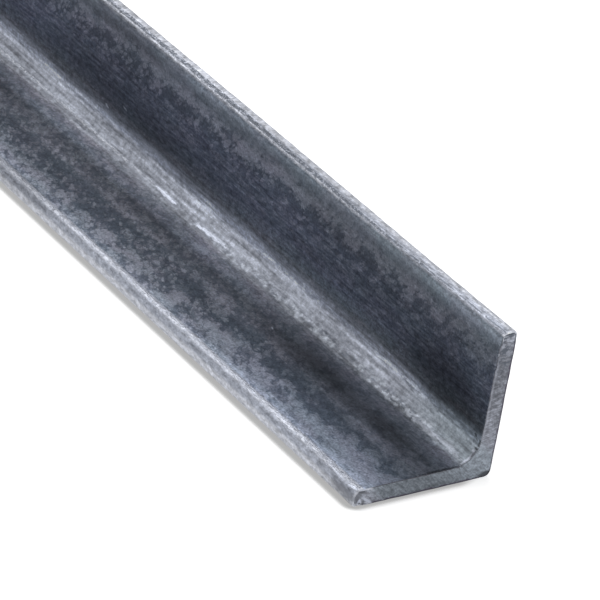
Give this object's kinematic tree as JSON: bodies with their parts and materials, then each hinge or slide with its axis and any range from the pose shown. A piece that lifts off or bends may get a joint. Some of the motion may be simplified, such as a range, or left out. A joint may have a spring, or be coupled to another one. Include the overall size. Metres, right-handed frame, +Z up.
{
  "type": "steel angle bar",
  "caption": "Hot-rolled L-section bar with two equal legs, a rounded root and rounded toes, for framing, bracing and edging.",
  "frame": {"origin": "middle of the bar's footprint, at the level of the surface it lies on", "axes": "+X along the length, +Z up, +Y towards the back of the upright leg; the other leg lies flat"},
  "size_m": [0.5, 0.025, 0.025],
  "materials": {
    "mill_scale_steel": "as-rolled mill scale: dark blue-grey and mottled on the inner faces, bare and streaky at the root and toes, with sawn ends"
  },
  "bodies": {
    "root": {"angle_bar": "mill_scale_steel"}
  },
  "joints": []
}
